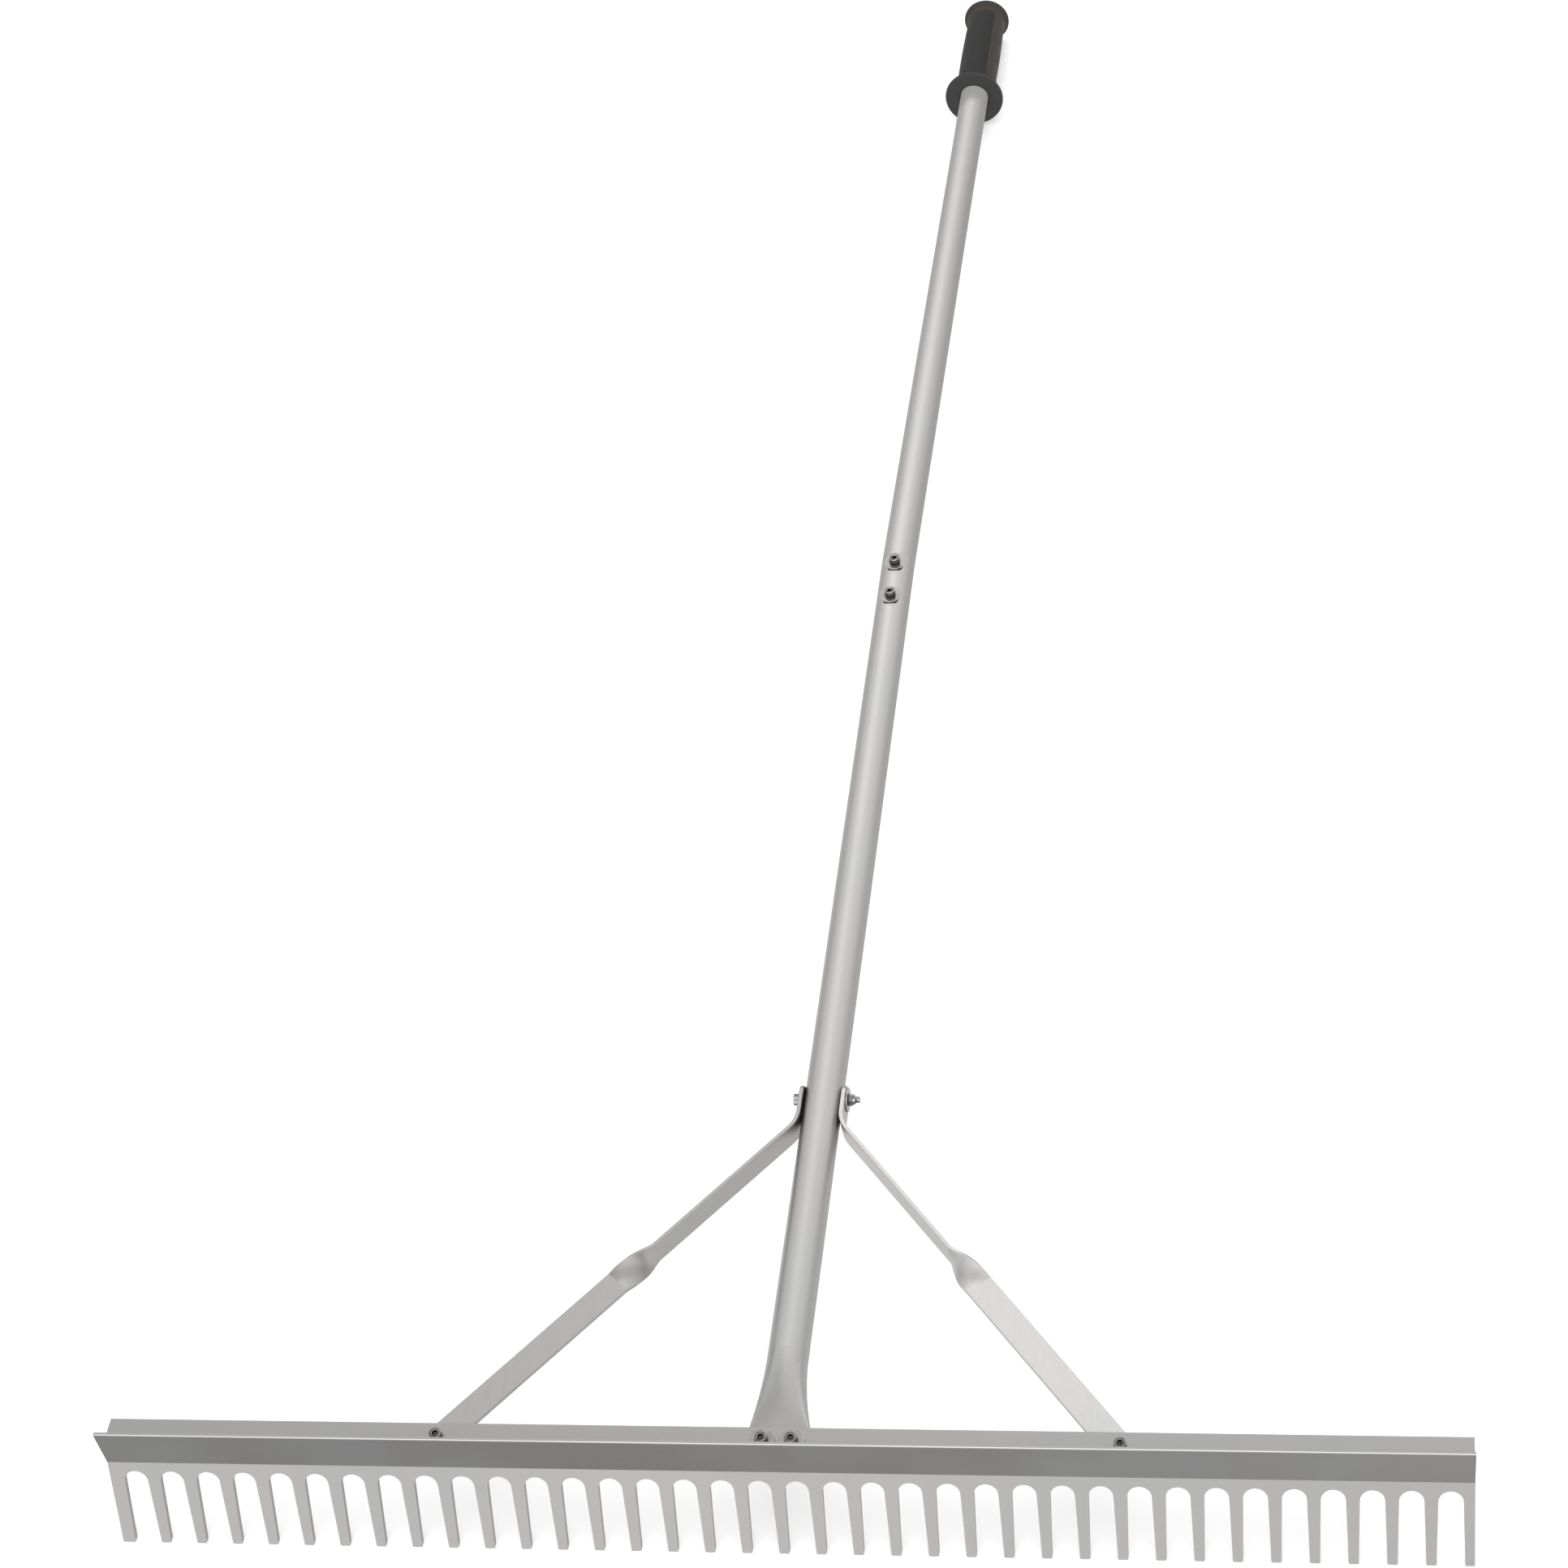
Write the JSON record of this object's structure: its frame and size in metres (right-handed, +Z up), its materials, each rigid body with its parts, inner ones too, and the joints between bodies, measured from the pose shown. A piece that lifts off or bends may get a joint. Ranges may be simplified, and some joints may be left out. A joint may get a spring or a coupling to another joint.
{
  "type": "landscape rake",
  "caption": "Wide hand rake for soil, gravel and screed: toothed aluminium bar, two-piece tubular handle with a rubber grip, and two twisted flat-bar braces.",
  "frame": {"origin": "centre of the flat tip of the middle tooth, on the floor", "axes": "+X along the head, +Y from the head towards the grip, +Z up; the rake lies on its tooth tips and on the end of its grip"},
  "size_m": [0.9144, 1.7787, 0.0955],
  "materials": {
    "head_aluminium": "extruded, satin anodised, fine lengthwise lines",
    "tube_aluminium": "drawn tube, satin anodised",
    "bar_aluminium": "flat bar, satin anodised, slightly crazed at the twist",
    "washer_stainless": "stamped stainless steel",
    "bolt_stainless": "bright stainless steel",
    "grip_rubber": "moulded black rubber, fine leather grain",
    "collar_nylon": "natural nylon"
  },
  "bodies": {
    "root": {"brace_cross_bolt": "bolt_stainless", "brace_cross_nut": "bolt_stainless", "brace_cross_nut_collar": "collar_nylon", "brace_cross_nut_washer": "washer_stainless", "handle_grip": "grip_rubber", "left_brace": "bar_aluminium", "left_brace_bolt": "bolt_stainless", "left_brace_nut": "bolt_stainless", "left_brace_nut_collar": "collar_nylon", "left_brace_nut_washer": "washer_stainless", "left_foot_bolt": "bolt_stainless", "left_foot_head_washer": "washer_stainless", "left_foot_nut": "bolt_stainless", "left_foot_nut_collar": "collar_nylon", "left_foot_nut_washer": "washer_stainless", "lower_joint_bolt": "bolt_stainless", "lower_joint_head_washer": "washer_stainless", "lower_joint_nut": "bolt_stainless", "lower_joint_nut_collar": "collar_nylon", "lower_joint_nut_washer": "washer_stainless", "lower_tube": "tube_aluminium", "rake_head": "head_aluminium", "right_brace": "bar_aluminium", "right_brace_bolt": "bolt_stainless", "right_brace_nut": "bolt_stainless", "right_brace_nut_collar": "collar_nylon", "right_brace_nut_washer": "washer_stainless", "right_foot_bolt": "bolt_stainless", "right_foot_head_washer": "washer_stainless", "right_foot_nut": "bolt_stainless", "right_foot_nut_collar": "collar_nylon", "right_foot_nut_washer": "washer_stainless", "upper_joint_bolt": "bolt_stainless", "upper_joint_head_washer": "washer_stainless", "upper_joint_nut": "bolt_stainless", "upper_joint_nut_collar": "collar_nylon", "upper_joint_nut_washer": "washer_stainless", "upper_tube": "tube_aluminium"}
  },
  "joints": []
}
